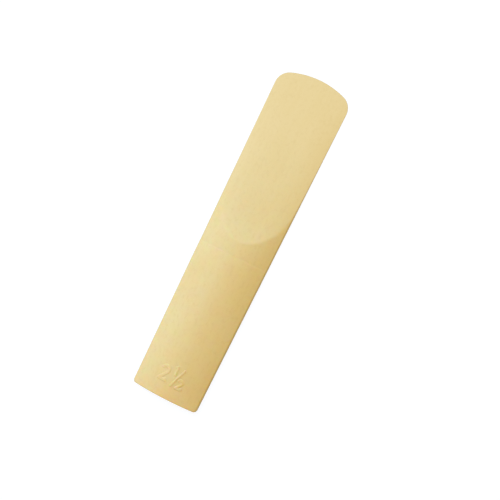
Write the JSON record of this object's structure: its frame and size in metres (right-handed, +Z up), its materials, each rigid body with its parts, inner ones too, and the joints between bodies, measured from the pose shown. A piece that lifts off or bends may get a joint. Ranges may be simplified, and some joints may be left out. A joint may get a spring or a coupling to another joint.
{
  "type": "alto saxophone reed",
  "caption": "Single reed for an alto saxophone mouthpiece: flat underside, round-backed stock, U-shaped shoulder and a long vamp that thins to a curved tip.",
  "frame": {"origin": "middle of the flat underside, half way between heel and tip on the middle line", "axes": "+Y from the heel to the thin tip, +Z up from the flat underside through the round back, +X to the right as seen from above with the tip ahead"},
  "size_m": [0.0162, 0.072, 0.0034],
  "materials": {
    "reed_resin": "satin straw-coloured moulded resin with a fine, even texture"
  },
  "bodies": {
    "root": {"reed": "reed_resin"}
  },
  "joints": []
}
